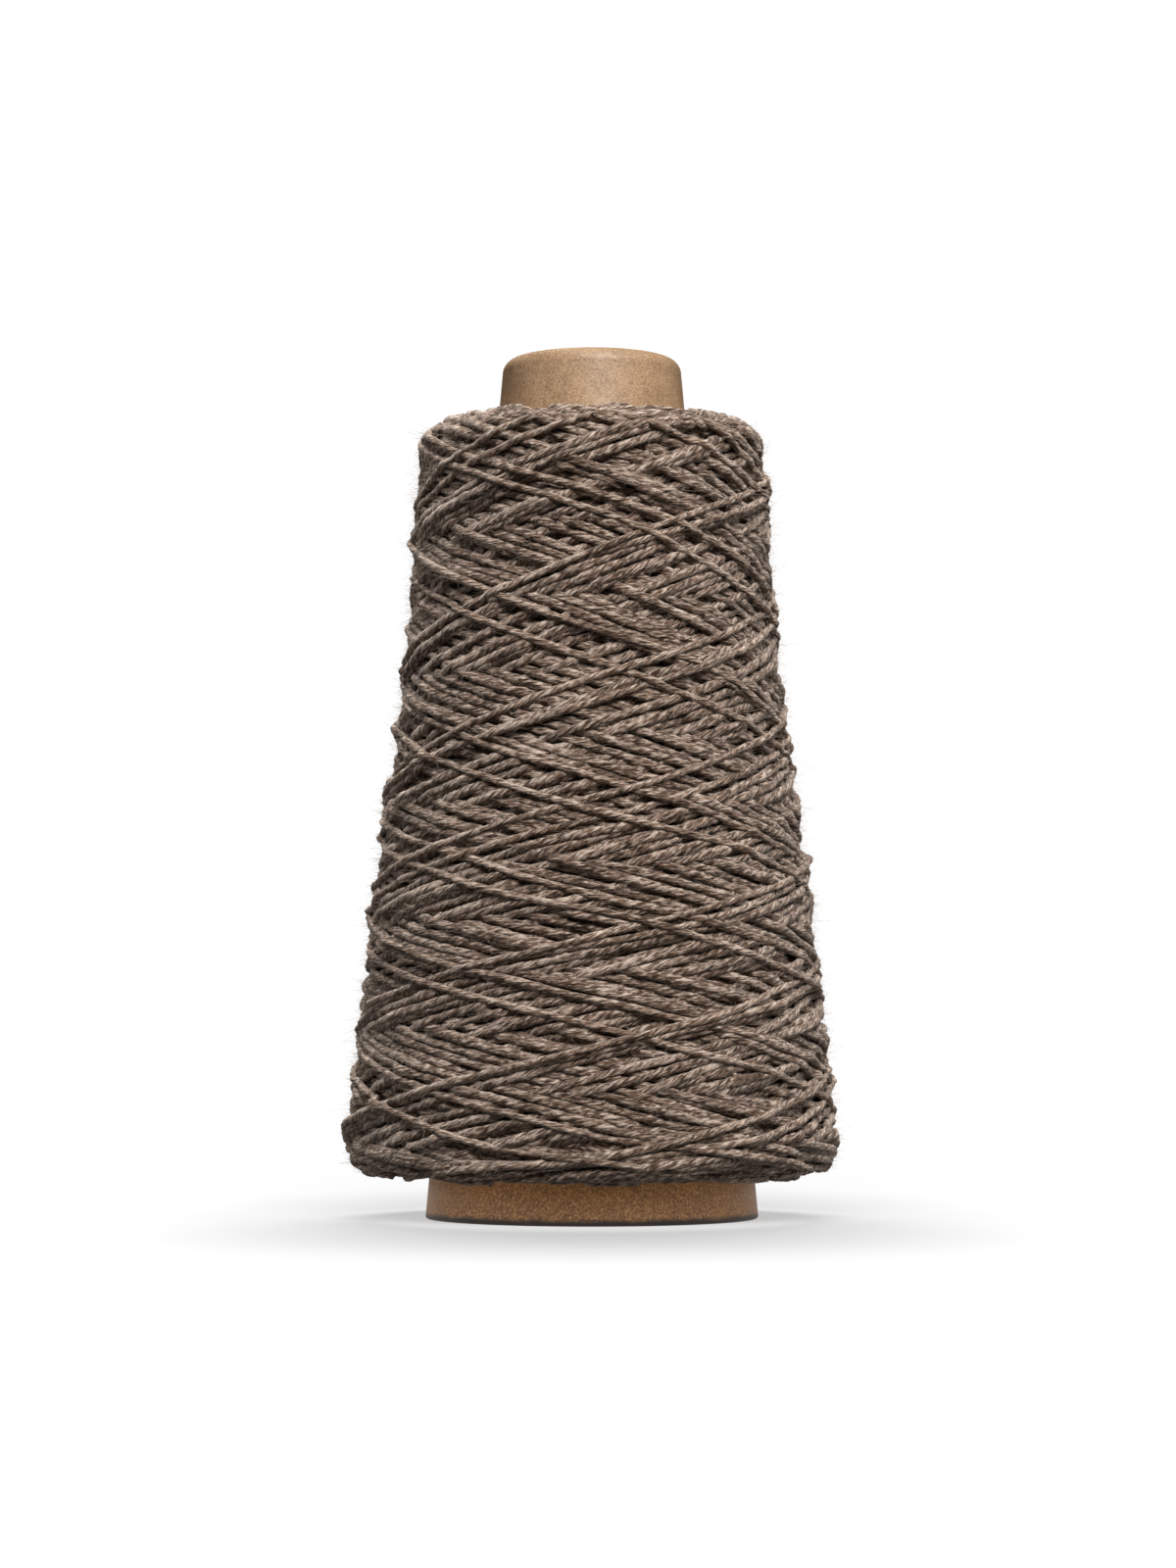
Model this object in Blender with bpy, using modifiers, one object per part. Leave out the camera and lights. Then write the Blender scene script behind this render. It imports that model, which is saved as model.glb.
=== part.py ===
# A cone of wool yarn at rest on its base: a tapered cardboard tube with a rolled-in nose,
# and the yarn cross-wound over it.
# Metres, +Z up. The origin is the centre of the tube's base, where it stands on the table.

import math

import bpy
import numpy as np

MM = 0.001

# Cardboard tube
TUBE_HEIGHT = 170.0 * MM
TUBE_BASE_RADIUS = 32.7 * MM
TUBE_TAPER = math.radians(5.1)  # half angle of the cone
TUBE_WALL = 2.0 * MM
BASE_EDGE = 0.3 * MM  # the cut base edge is very slightly worn
NOSE_ROLL = 3.0 * MM  # outer radius of the rolled-in nose
NOSE_COLLAR = 8.0 * MM  # how far the rolled-in card reaches down inside
TUBE_SEGMENTS = 72

# Wound yarn
FIT_GAP = 0.3 * MM  # between the tube and the innermost turns
YARN_FOOT = 8.0 * MM  # underside of the winding, above the table
YARN_HEAD = 157.0 * MM  # top face of the winding
FOOT_CORNER = 8.0 * MM
HEAD_CORNER = 6.0 * MM
END_DISH = 0.8 * MM  # the end faces draw in a little toward the tube
YARN_SEGMENTS = 64
SIDE_ROWS = 76
CORNER_ROWS = 5
END_ROWS = 2

# Side of the winding, without its proud bands: the layers build up thicker toward the base.
SIDE_TABLE = (
    # height, radius, in mm
    (16.0, 48.2),
    (34.0, 45.9),
    (48.0, 44.2),
    (63.0, 43.0),
    (77.5, 40.9),
    (92.0, 38.7),
    (106.5, 37.0),
    (121.0, 35.7),
    (136.0, 34.9),
    (151.0, 34.0),
)

# How a strand climbs. It lies almost level where it turns back at the base, crosses more steeply
# toward the top, and makes two and a sixth turns on its way.
CLIMB_TABLE = (
    # sixths of a turn since the foot, height in mm
    (0, 8.0),
    (1, 13.5),
    (3, 37.0),
    (5, 57.5),
    (7, 79.5),
    (9, 105.0),
    (11, 132.5),
    (13, 157.0),
)
CLIMB_SAMPLES = 400
CLIMB_SMOOTHING = 41  # samples averaged, so that the climb changes gently

# The last crossing strands that stand proud of the rest. Three returns bring the strand round to
# beside where it lay before, so there are three each way, and they cross in long diamonds.
PROUD_BANDS = (
    # direction (+1 rises to the right), start in twelfths of a turn, lift in mm, half width in mm
    (+1, 7, 1.2, 2.6),
    (+1, 11, 1.0, 2.4),
    (+1, 3, 1.1, 2.5),
    (-1, 7, 1.0, 2.4),
    (-1, 11, 1.2, 2.6),
    (-1, 3, 1.1, 2.5),
)
BAND_FADE = 6.0 * MM  # over this height at each end the bands sink into the corners


def clear_scene():
    for old in list(bpy.data.objects):
        bpy.data.objects.remove(old, do_unlink=True)


def new_collection(name):
    made = bpy.data.collections.new(name)
    bpy.context.scene.collection.children.link(made)
    return made


def material(name, colour, roughness):
    made = bpy.data.materials.new(name)
    made.use_nodes = True
    shader = made.node_tree.nodes["Principled BSDF"]
    shader.inputs["Base Color"].default_value = (*colour, 1.0)
    shader.inputs["Roughness"].default_value = roughness
    return made


def arc(centre_r, centre_z, radius, start_degrees, end_degrees, steps):
    """Points (r, z) of a circular arc, both ends included."""
    points = []
    for step in range(steps + 1):
        angle = math.radians(start_degrees + (end_degrees - start_degrees) * step / steps)
        points.append((centre_r + radius * math.cos(angle), centre_z + radius * math.sin(angle)))
    return points


def tube_radius(z):
    return TUBE_BASE_RADIUS - z * math.tan(TUBE_TAPER)


def turned(name, profile, segments, collection, surface):
    """A closed profile of (r, z) points, down its outer side and up its inner side, turned about Z."""
    mesh = bpy.data.meshes.new(name)
    count = len(profile)
    mesh.from_pydata(
        [(r, 0.0, z) for r, z in profile],
        [(i, (i + 1) % count) for i in range(count)],
        [],
    )
    obj = bpy.data.objects.new(name, mesh)
    collection.objects.link(obj)
    screw = obj.modifiers.new("Turned", "SCREW")
    screw.axis = "Z"
    screw.steps = segments
    screw.render_steps = segments
    screw.use_merge_vertices = True
    screw.merge_threshold = 0.00001
    screw.use_smooth_shade = True
    mesh.materials.append(surface)
    return obj


def tube_profile():
    """Nose roll, outer taper, base edge, bore, and the collar of card turned in at the nose."""
    shoulder_z = TUBE_HEIGHT - NOSE_ROLL
    roll_centre = tube_radius(shoulder_z) - NOSE_ROLL
    mouth_radius = roll_centre - NOSE_ROLL
    collar_z = TUBE_HEIGHT - NOSE_COLLAR
    points = arc(roll_centre, shoulder_z, NOSE_ROLL, 180.0, 0.0, 12)
    points += [
        (TUBE_BASE_RADIUS - BASE_EDGE * math.tan(TUBE_TAPER), BASE_EDGE),
        (TUBE_BASE_RADIUS - BASE_EDGE, 0.0),
        (TUBE_BASE_RADIUS - TUBE_WALL + BASE_EDGE, 0.0),
        (tube_radius(BASE_EDGE) - TUBE_WALL, BASE_EDGE),
        (tube_radius(collar_z - NOSE_ROLL) - TUBE_WALL, collar_z - NOSE_ROLL),
        (mouth_radius + NOSE_ROLL / 2, collar_z),
        (mouth_radius, collar_z + NOSE_ROLL / 2),
    ]
    return points


def side_radius(z):
    """Outer radius of the winding's side at height z."""
    heights = [row[0] * MM for row in SIDE_TABLE]
    radii = [row[1] * MM for row in SIDE_TABLE]
    return np.interp(z, heights, radii)


def yarn_profile():
    """Top face, upper corner, long tapered side, lower corner, underside and bore."""
    foot_z = YARN_FOOT + FOOT_CORNER
    head_z = YARN_HEAD - HEAD_CORNER
    bore_head = (tube_radius(YARN_HEAD) + FIT_GAP, YARN_HEAD - END_DISH)
    bore_foot = (tube_radius(YARN_FOOT) + FIT_GAP, YARN_FOOT + END_DISH)
    upper = arc(side_radius(head_z) - HEAD_CORNER, head_z, HEAD_CORNER, 90.0, 0.0, CORNER_ROWS)
    lower = arc(side_radius(foot_z) - FOOT_CORNER, foot_z, FOOT_CORNER, 0.0, -90.0, CORNER_ROWS)
    points = [bore_head]
    for step in range(1, END_ROWS):
        share = step / END_ROWS
        points.append((
            bore_head[0] + (upper[0][0] - bore_head[0]) * share,
            bore_head[1] + (upper[0][1] - bore_head[1]) * share,
        ))
    points += upper
    for step in range(1, SIDE_ROWS):
        z = head_z + (foot_z - head_z) * step / SIDE_ROWS
        points.append((side_radius(z), z))
    points += lower
    for step in range(1, END_ROWS):
        share = step / END_ROWS
        points.append((
            lower[-1][0] + (bore_foot[0] - lower[-1][0]) * share,
            lower[-1][1] + (bore_foot[1] - lower[-1][1]) * share,
        ))
    points.append(bore_foot)
    return points


def climb():
    """At each of many heights, the turns a strand has made since the foot, and its lay angle."""
    heights = np.linspace(YARN_FOOT, YARN_HEAD, CLIMB_SAMPLES)
    turns = np.interp(heights, [row[1] * MM for row in CLIMB_TABLE], [row[0] / 6 for row in CLIMB_TABLE])
    reach = CLIMB_SMOOTHING // 2
    held = np.pad(turns, reach, mode="reflect", reflect_type="odd")
    turns = np.convolve(held, np.full(CLIMB_SMOOTHING, 1 / CLIMB_SMOOTHING), mode="valid")
    advance = 2 * math.pi * side_radius(heights) * np.gradient(turns, heights)
    return heights, turns, np.arctan(1 / advance)


def along_ridges(mesh, lift):
    """The mesh's faces as triangles, each four-sided one cut along the diagonal that is lifted more."""
    triangles = []
    for face in mesh.polygons:
        a, b, c, d = face.vertices
        if lift[a] + lift[c] >= lift[b] + lift[d]:
            triangles += [(a, b, c), (a, c, d)]
        else:
            triangles += [(a, b, d), (b, c, d)]
    return triangles


def raise_bands(obj):
    """Lifts the outer face's points along the crossing strands that stand proud."""
    graph = bpy.context.evaluated_depsgraph_get()
    mesh = bpy.data.meshes.new_from_object(obj.evaluated_get(graph))
    points = np.empty(len(mesh.vertices) * 3)
    mesh.vertices.foreach_get("co", points)
    points = points.reshape(-1, 3)
    heights, turns, lay = climb()
    radius = np.hypot(points[:, 0], points[:, 1])
    angle = np.arctan2(points[:, 1], points[:, 0]) / (2 * math.pi)
    z = points[:, 2]
    climbed = np.interp(z, heights, turns)
    lay_here = np.interp(z, heights, lay)
    lift = np.zeros(len(points))
    for direction, start_twelfths, rise_mm, half_width_mm in PROUD_BANDS:
        off = angle - (start_twelfths / 12 + direction * climbed)
        off -= np.round(off)
        across = np.abs(off) * 2 * math.pi * radius * np.sin(lay_here)
        near = np.clip(across / (half_width_mm * MM), 0.0, 1.0)
        lift = np.maximum(lift, rise_mm * MM * np.cos(near * math.pi / 2) ** 2)
    ends = np.minimum(z - YARN_FOOT, YARN_HEAD - z) / BAND_FADE
    on_side = radius > tube_radius(z) + HEAD_CORNER
    lift *= np.clip(ends, 0.0, 1.0) * on_side
    points[:, :2] *= (1 + lift / radius)[:, None]
    wound = bpy.data.meshes.new(obj.name)
    wound.from_pydata(points.tolist(), [], along_ridges(mesh, lift))
    wound.materials.append(obj.data.materials[0])
    wound.shade_smooth()
    obj.modifiers.clear()
    obj.data = wound


def build():
    clear_scene()
    cone = new_collection("yarn cone")
    card = material("core", (0.46, 0.31, 0.18), 0.75)
    wool = material("yarn", (0.13, 0.095, 0.075), 0.95)
    turned("core", tube_profile(), TUBE_SEGMENTS, cone, card)
    yarn = turned("yarn", yarn_profile(), YARN_SEGMENTS, cone, wool)
    raise_bands(yarn)


build()
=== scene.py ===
# %% [markdown]
# # A cone of wool yarn
# A mill sells knitting and weaving yarn wound on a tapered cardboard tube.
# The yarn is laid crosswise, so the package holds its shape without flanges.
# This lesson builds the tube, then winds one long strand over it the way a
# cone winder does, and gives both their finish.

import math

import bpy
import numpy as np
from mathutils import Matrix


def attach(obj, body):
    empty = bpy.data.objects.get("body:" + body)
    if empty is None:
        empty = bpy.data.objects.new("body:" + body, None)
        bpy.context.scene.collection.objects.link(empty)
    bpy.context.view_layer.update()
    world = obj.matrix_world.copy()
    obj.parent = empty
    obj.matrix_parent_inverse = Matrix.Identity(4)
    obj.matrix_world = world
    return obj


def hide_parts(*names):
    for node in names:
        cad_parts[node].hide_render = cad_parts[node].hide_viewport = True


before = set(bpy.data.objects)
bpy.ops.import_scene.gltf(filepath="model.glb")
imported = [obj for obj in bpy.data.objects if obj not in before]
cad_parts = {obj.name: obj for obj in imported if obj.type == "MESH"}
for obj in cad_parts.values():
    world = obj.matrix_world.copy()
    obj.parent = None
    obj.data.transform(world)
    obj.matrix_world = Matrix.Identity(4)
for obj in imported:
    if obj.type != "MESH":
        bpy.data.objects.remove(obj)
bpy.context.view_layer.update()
MM = 0.001
TURN = 2 * math.pi

# %% [markdown]
# ## Sizes
# All sizes are in millimetres. The tube is 170 mm tall and stands on its wide end.
# The winding covers it from just above the base to just under the nose. Its side
# is a little hollow, because the layers build up thicker toward the base.

# %% The tube and the winding in numbers
TUBE_HEIGHT = 170.0
TUBE_BASE_RADIUS = 32.7
TUBE_TAPER = math.radians(5.1)
TUBE_WALL = 2.0
BASE_EDGE = 0.3
NOSE_ROLL = 3.0
NOSE_COLLAR = 8.0

FOOT = 8.0
HEAD = 157.0
FOOT_CORNER = 8.0
HEAD_CORNER = 6.0
SIDE_TABLE = np.array([
    # height, radius
    (16.0, 48.2),
    (34.0, 45.9),
    (48.0, 44.2),
    (63.0, 43.0),
    (77.5, 40.9),
    (92.0, 38.7),
    (106.5, 37.0),
    (121.0, 35.7),
    (136.0, 34.9),
    (151.0, 34.0),
])


def tube_radius(z):
    return TUBE_BASE_RADIUS - z * math.tan(TUBE_TAPER)


def side_radius(z):
    return np.interp(z, SIDE_TABLE[:, 0], SIDE_TABLE[:, 1])


def package_radius(z):
    """Outer radius of the finished winding at height z, with its rounded ends."""
    z = np.asarray(z, float)
    over = np.clip(z - (HEAD - HEAD_CORNER), 0, HEAD_CORNER)
    under = np.clip((FOOT + FOOT_CORNER) - z, 0, FOOT_CORNER)
    drawn_in = HEAD_CORNER - np.sqrt(HEAD_CORNER**2 - over**2)
    drawn_in = drawn_in + FOOT_CORNER - np.sqrt(FOOT_CORNER**2 - under**2)
    return side_radius(z) - drawn_in


print("widest turn", round(2 * float(package_radius(FOOT + FOOT_CORNER)), 1), "mm across")

# %% [markdown]
# ## A short way to write finishes
# A shader is a net of nodes. Writing its sums as Python keeps it readable, so
# this small class wraps one output of a node, and + - * on it add Math nodes.
# A ramp turns a value into a mask: it eases from 0 to 1 between two limits.

# %% Outputs that can be added and multiplied
class Out:
    def __init__(self, finish, socket):
        self.finish = finish
        self.socket = socket

    def sum(self, operation, first, second=None):
        values = {0: first} if second is None else {0: first, 1: second}
        return self.finish.node("ShaderNodeMath", {"operation": operation}, values)

    def __add__(self, other):
        return self.sum("ADD", self, other)

    def __radd__(self, other):
        return self.sum("ADD", other, self)

    def __sub__(self, other):
        return self.sum("SUBTRACT", self, other)

    def __rsub__(self, other):
        return self.sum("SUBTRACT", other, self)

    def __mul__(self, other):
        return self.sum("MULTIPLY", self, other)

    def __rmul__(self, other):
        return self.sum("MULTIPLY", other, self)

    def cos(self):
        return self.sum("COSINE", self)

    def sin(self):
        return self.sum("SINE", self)

    def ramp(self, low, high, easing="SMOOTHSTEP"):
        """0 below low, 1 above high, and smooth between them."""
        limits = {"Value": self, "From Min": low, "From Max": high}
        return self.finish.node("ShaderNodeMapRange", {"interpolation_type": easing}, limits)

    def spread(self, low, high):
        """0 below low, 1 above high, and even between them."""
        return self.ramp(low, high, "LINEAR")


sums = [name.strip("_") for name in vars(Out) if name.strip("_")[-3:] in ("add", "sub", "mul")]
print("an output now takes", ", ".join(sums))

# %% [markdown]
# ## A finish
# A finish is a material that starts with one Principled shader, which suits
# both card and wool. Every node in it comes from one method, which takes the
# node's type, its settings and what goes into its sockets. Noise, a mix of two
# colours and a bump are used so often that they get methods of their own.

# %% A material with its nodes
class Finish:
    """A material that starts with one Principled shader."""

    def __init__(self, name):
        self.material = bpy.data.materials.new(name)
        self.material.use_nodes = True
        self.nodes = self.material.node_tree.nodes
        self.links = self.material.node_tree.links
        self.shader = self.nodes["Principled BSDF"]

    def node(self, kind, settings=None, inputs=None, output=0):
        made = self.nodes.new(kind)
        for name, value in (settings or {}).items():
            setattr(made, name, value)
        for name, value in (inputs or {}).items():
            self.join(made.inputs[name], value)
        return Out(self, made.outputs[output])

    def join(self, socket, value):
        if isinstance(value, Out):
            self.links.new(value.socket, socket)
        else:
            socket.default_value = value

    def set(self, name, value):
        self.join(self.shader.inputs[name], value)

    def noise(self, vector, scale, detail=2.0, roughness=0.5):
        inputs = {"Vector": vector, "Scale": scale, "Detail": detail, "Roughness": roughness}
        return self.node("ShaderNodeTexNoise", {}, inputs)

    def vector(self, x, y, z):
        return self.node("ShaderNodeCombineXYZ", {}, {"X": x, "Y": y, "Z": z})

    def mix(self, factor, first, second, blend="MIX"):
        """Colours: first where the factor is 0, second where it is 1."""
        return self.node(
            "ShaderNodeMix",
            {"data_type": "RGBA", "blend_type": blend},
            {"Factor": factor, 6: first, 7: second},
            output=2,
        )

    def bump(self, height, strength, distance):
        inputs = {"Height": height, "Strength": strength, "Distance": distance}
        return self.node("ShaderNodeBump", {}, inputs)


def srgb(red, green, blue):
    """A colour given 0 to 255, as the linear colour a shader wants."""
    linear = []
    for value in (red, green, blue):
        value = value / 255
        linear.append(value / 12.92 if value <= 0.04045 else ((value + 0.055) / 1.055) ** 2.4)
    return (*linear, 1.0)


print("mid grey as a shader's colour:", round(srgb(128, 128, 128)[0], 3))

# %% [markdown]
# ## Meshes from arrays
# The winding has tens of thousands of rings, so its mesh is worked out with
# arrays and handed to Blender in one go. All faces have four sides, and each
# corner of a face gets a place on a flat sheet, its UV.

# %% Helpers: one mesh from arrays of points and four-sided faces
def mesh_object(name, points, faces, uv_maps, finish):
    mesh = bpy.data.meshes.new(name)
    mesh.vertices.add(len(points))
    mesh.vertices.foreach_set("co", (points * MM).astype(np.float32).ravel())
    mesh.loops.add(faces.size)
    mesh.loops.foreach_set("vertex_index", faces.astype(np.int32).ravel())
    mesh.polygons.add(len(faces))
    mesh.polygons.foreach_set("loop_start", np.arange(0, faces.size, 4, dtype=np.int32))
    mesh.polygons.foreach_set("use_smooth", np.full(len(faces), True))
    mesh.update(calc_edges=True)
    for uv_name, uv in uv_maps.items():
        layer = mesh.uv_layers.new(name=uv_name)
        layer.uv.foreach_set("vector", uv.astype(np.float32).ravel())
    mesh.materials.append(finish.material)
    obj = bpy.data.objects.new(name, mesh)
    bpy.context.scene.collection.objects.link(obj)
    return obj


def quads(a, b, c, d):
    """Four-sided faces from arrays of their first, second, third and fourth corners."""
    return np.stack([a, b, c, d], axis=-1).reshape(-1, 4)


def corner_uvs(u0, u1, v0, v1):
    """UVs for the four corners of each face: up its first side, and down its second."""
    corners = [(u0, v0), (u0, v1), (u1, v1), (u1, v0)]
    return np.stack([np.stack(corner, -1) for corner in corners], axis=-2).reshape(-1, 2)


print("corners of one face:", corner_uvs(*np.array([[0], [1], [0], [1]])).tolist())

# %% [markdown]
# ## Turning a profile
# A round thing such as the tube is a profile turned about the axis, as on a
# lathe. The profile is a closed line of points, each a radius and a height.

# %% Helpers: a turned form, and the arcs of its profile
SHEET_EDGE = 0.004  # margin of the sheet that a surface is laid out on


def inset(share):
    return SHEET_EDGE + share * (1 - 2 * SHEET_EDGE)


def turned(name, profile, steps, finish):
    """A closed profile of (radius, height) points turned about the axis, with its UV map."""
    profile = np.array(profile, float)
    count = len(profile)
    angles = np.arange(steps) / steps * TURN
    radii, heights = profile.T
    x, y = np.outer(np.cos(angles), radii), np.outer(np.sin(angles), radii)
    points = np.stack([x, y, np.tile(heights, (steps, 1))], axis=-1).reshape(-1, 3)
    ring, row = np.meshgrid(np.arange(steps), np.arange(count), indexing="ij")
    here, there, below = ring * count, (ring + 1) % steps * count, (row + 1) % count
    faces = quads(here + row, here + below, there + below, there + row)
    lengths = np.hypot(*(np.roll(profile, -1, axis=0) - profile).T)
    along = np.concatenate(([0], np.cumsum(lengths)))
    along = along / along[-1]
    u0, u1 = inset(ring / steps), inset((ring + 1) / steps)
    uv = corner_uvs(u0, u1, inset(along[row]), inset(along[row + 1]))
    return mesh_object(name, points, faces, {"OFBake": uv}, finish)


def arc(centre_r, centre_z, radius, start, end, steps):
    """Points of an arc from one angle to another, in degrees."""
    angles = np.radians(np.linspace(start, end, steps + 1))
    return list(zip(centre_r + radius * np.cos(angles), centre_z + radius * np.sin(angles)))


print("a quarter circle in two steps:", np.round(arc(0, 0, 1, 0, 90, 2), 2).tolist())

# %% [markdown]
# ## The cardboard
# Cone tubes are rolled from kraft card, glued and pressed. Long brown pulp
# fibres give it a fine mottle, and the pressing leaves a soft shine on the
# nose. Noise at three sizes does this well: clouds for the pulp, specks for
# fibres, and a very fine grain for the tooth. Each is mixed in as a colour.

# %% Kraft card: pulp, fibres and tooth
card = Finish("kraft card")
place = card.node("ShaderNodeTexCoord", output="Object")
per_mm = 1 / MM  # noise scales are per metre
clouds = card.noise(place, 0.16 * per_mm, detail=4, roughness=0.6)
flecks = card.noise(place, 0.9 * per_mm, detail=3, roughness=0.65)
tooth = card.noise(place, 2.6 * per_mm, detail=2, roughness=0.6)
pulp = card.mix(clouds.ramp(0.3, 0.7), srgb(152, 122, 92), srgb(172, 140, 107))
pulp = card.mix(flecks.ramp(0.52, 0.78) * 0.5, pulp, srgb(190, 162, 133))
pulp = card.mix(flecks.ramp(0.46, 0.26) * 0.6, pulp, srgb(128, 93, 62))
pulp = card.mix(tooth.ramp(0.50, 0.36) * 0.5, pulp, srgb(128, 92, 62))
pulp = card.mix(tooth.ramp(0.50, 0.66) * 0.35, pulp, srgb(204, 178, 150))
print("pulp colours take", len(card.nodes), "nodes")

# %% [markdown]
# ## The card at the base
# Below the winding the card is painted darker and browner, as painted shade under
# the winding's overhang, and it is coarser, with dark and pale fibres. A nearly black
# band along the cut edge is a painted contact shadow. The height of each point gives
# both masks, and the clouds keep the dark edge uneven.

# %% Kraft card: base, cut edge and gloss
height = card.node("ShaderNodeSeparateXYZ", {}, {"Vector": place}, output=2)
# Painted shade: below the winding the card is darkened and browned, and its grain is made coarser.
shade_and_grain_below = height.ramp(14 * MM, 7 * MM)
pulp = card.mix(shade_and_grain_below, pulp, srgb(214, 179, 118), "MULTIPLY")
pulp = card.mix(shade_and_grain_below * tooth.ramp(0.49, 0.35) * 0.55, pulp, srgb(76, 50, 30))
pulp = card.mix(shade_and_grain_below * tooth.ramp(0.52, 0.66) * 0.45, pulp, srgb(196, 152, 104))
# Painted contact shadow: a nearly black, uneven band along the foot of the tube.
painted_contact_shadow = (height + clouds * (0.8 * MM)).ramp(2.1 * MM, 0.9 * MM)
pulp = card.mix(painted_contact_shadow * 0.95, pulp, srgb(16, 10, 6))
card.set("Base Color", pulp)
card.set("Roughness", 0.38 + 0.2 * tooth)
card.set("Specular IOR Level", 0.42)
card.set("Normal", card.bump(tooth + 0.6 * flecks, 0.22, 0.0002))
print("card finish has", len(card.nodes), "nodes")

# %% [markdown]
# ## The tube
# The real tube is one wound sheet, and its nose is rolled inward by a heated
# die, so the rim is a smooth round bead and the mouth is narrower than the
# tube. Turning its profile about the axis gives exactly that form.

# %% Turn the tube
shoulder = TUBE_HEIGHT - NOSE_ROLL
roll_centre = tube_radius(shoulder) - NOSE_ROLL
mouth = roll_centre - NOSE_ROLL
collar = TUBE_HEIGHT - NOSE_COLLAR
base_inner = TUBE_BASE_RADIUS - TUBE_WALL
tube_profile = arc(roll_centre, shoulder, NOSE_ROLL, 180, 0, 24)
tube_profile += [(tube_radius(z), z) for z in np.linspace(shoulder, BASE_EDGE, 24)[1:]]
tube_profile += [
    (TUBE_BASE_RADIUS - BASE_EDGE, 0.0),
    (base_inner + BASE_EDGE, 0.0),
    (base_inner, BASE_EDGE),
]
tube_profile += [
    (tube_radius(z) - TUBE_WALL, z) for z in np.linspace(BASE_EDGE, collar - NOSE_ROLL, 20)[1:]
]
tube_profile += [(mouth + NOSE_ROLL / 2, collar), (mouth, collar + NOSE_ROLL / 2)]
tube = turned("cardboard_tube", tube_profile, 160, card)
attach(tube, "root")
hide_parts("core")
print("tube faces:", len(tube.data.polygons))

# %% [markdown]
# ## The guide's motion
# On the winder the cone turns while a guide runs up and down, so the strand
# climbs to the right, turns back near the nose and comes down again. A pass
# takes a little less than two and a sixth turns. So three returns bring the
# strand round to just beside where it lay before, and the surface shows three
# broad bands each way, which cross in long diamonds.

# %% The passes in numbers
GUIDE_TABLE = np.array([
    # sixths of a turn since the foot, height in mm
    (0.0, 8.5),
    (1.0, 13.5),
    (3.0, 37.0),
    (5.0, 57.5),
    (7.0, 79.5),
    (9.0, 105.0),
    (11.0, 132.5),
    (13.0, 156.5),
])
PASS_SIXTHS = GUIDE_TABLE[-1, 0]
TURNS_PER_PASS = 13 / 6 - 0.0039
LAST_PASSES = 6  # these lie farther apart, as the ratio drifts on a full package
LAST_SHORTER = 0.010
PASSES = 138
PATH_STEP = 0.4  # mm along the strand while it is being laid
STRAND = 0.70  # radius of the strand
TURN_BACK = 0.10  # turns over which it reverses
FRONT_CROSSING = 0.75 - 1 / 6  # angle in turns that puts a row of crossings at the front
rng = np.random.default_rng(11)
print("passes:", PASSES, "of", round(TURNS_PER_PASS, 3), "turns each")

# %% [markdown]
# ## Even and uneven motion
# Two helpers serve all that follows. One smooths a row of values with a
# rounded weight, and the other makes a slow random drift, because neither a
# guide nor a spinner keeps an even course.

# %% Helpers: a running average and a drift
def smoothed(values, reach):
    """A running average over about reach samples, the ends held."""
    width = max(1, int(reach))
    kernel = np.hanning(2 * width + 1)
    padded = np.pad(values, width, mode="edge")
    return np.convolve(padded, kernel / kernel.sum(), mode="valid")


def wander(count, reach, size):
    """A smooth random drift of about size either way, over about reach samples."""
    knots = int(count / reach) + 4
    drift = np.interp(np.linspace(0, knots - 1, count), np.arange(knots), rng.normal(0, size, knots))
    return smoothed(drift, reach / 2)


print("a step, smoothed:", smoothed(np.array([0.0, 0, 0, 1, 1, 1]), 2).round(2).tolist())

# %% [markdown]
# ## The guide's height
# The table above gives the height at a few places of a pass. It is smoothed
# twice, so that the guide's speed changes gently and yet reaches both ends.

# %% Height of the guide over one pass
GUIDE_SAMPLES = 600
GUIDE_EASE = 40  # samples over which the guide's speed changes
guide_share = np.linspace(0, 1, GUIDE_SAMPLES)
guide_level = np.interp(guide_share * PASS_SIXTHS, GUIDE_TABLE[:, 0], GUIDE_TABLE[:, 1])
once = smoothed(guide_level, GUIDE_EASE)
guide_level = 2 * once - smoothed(once, GUIDE_EASE)
guide_level = FOOT + (guide_level - guide_level[0]) / np.ptp(guide_level) * (HEAD - FOOT)


def guide_height(travel, turns):
    """Height for each share of a pass, slowing to a stop at both ends."""
    half = TURN_BACK / 2 / turns
    eased = np.where(travel < half, travel**2 / (2 * half) + half / 2, travel)
    eased = np.where(travel > 1 - half, 1 - (1 - travel) ** 2 / (2 * half) - half / 2, eased)
    return np.interp((eased - half / 2) / (1 - half), guide_share, guide_level)


print("halfway through a pass:", float(guide_height(0.5, TURNS_PER_PASS).round(1)), "mm up")

# %% [markdown]
# ## Laying one strand on the others
# A map of the package's surface records how high the yarn already stands at
# each place. A new strand rests on the highest points under it, slides a little
# off a neighbour, and spans the hollows because it is under tension. Wool is
# soft, so it also sinks in where it crosses another strand.

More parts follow.
